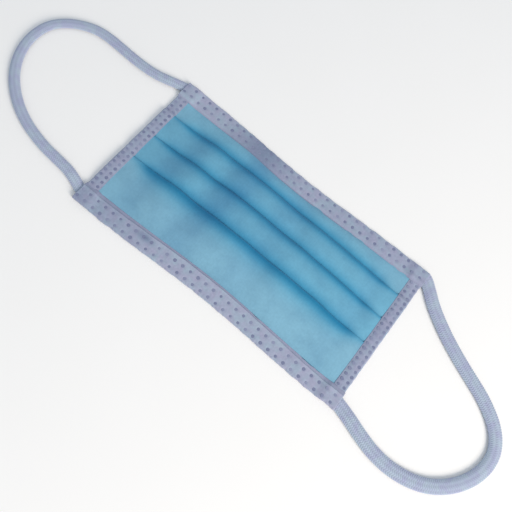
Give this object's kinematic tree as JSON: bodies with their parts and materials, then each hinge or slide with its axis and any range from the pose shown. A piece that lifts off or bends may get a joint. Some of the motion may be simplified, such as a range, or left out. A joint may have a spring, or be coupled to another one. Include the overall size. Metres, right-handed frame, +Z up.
{
  "type": "surgical face mask",
  "caption": "Flat-lying disposable face mask: knife-pleated blue nonwoven body with folded, spot-welded edge bindings and a soft elastic ear loop at each end.",
  "frame": {"origin": "on the floor under the middle of the mask's body, which lies flat with its outer face up", "axes": "+X along the body towards the right side binding, +Y towards the nose edge, +Z up"},
  "size_m": [0.3458, 0.104, 0.0087],
  "materials": {
    "blue_nonwoven": "soft matt spunbond polypropylene, sky blue",
    "grey_nonwoven": "matt spunbond polypropylene, pale lavender grey, with two rows of spot welds",
    "knit_elastic": "soft brushed knitted elastic, pale blue grey"
  },
  "bodies": {
    "root": {"pleated_panel": "blue_nonwoven", "nose_binding": "grey_nonwoven", "chin_binding": "grey_nonwoven", "side_binding_left": "grey_nonwoven", "side_binding_right": "grey_nonwoven", "ear_loop_left": "knit_elastic", "ear_loop_right": "knit_elastic"}
  },
  "joints": []
}
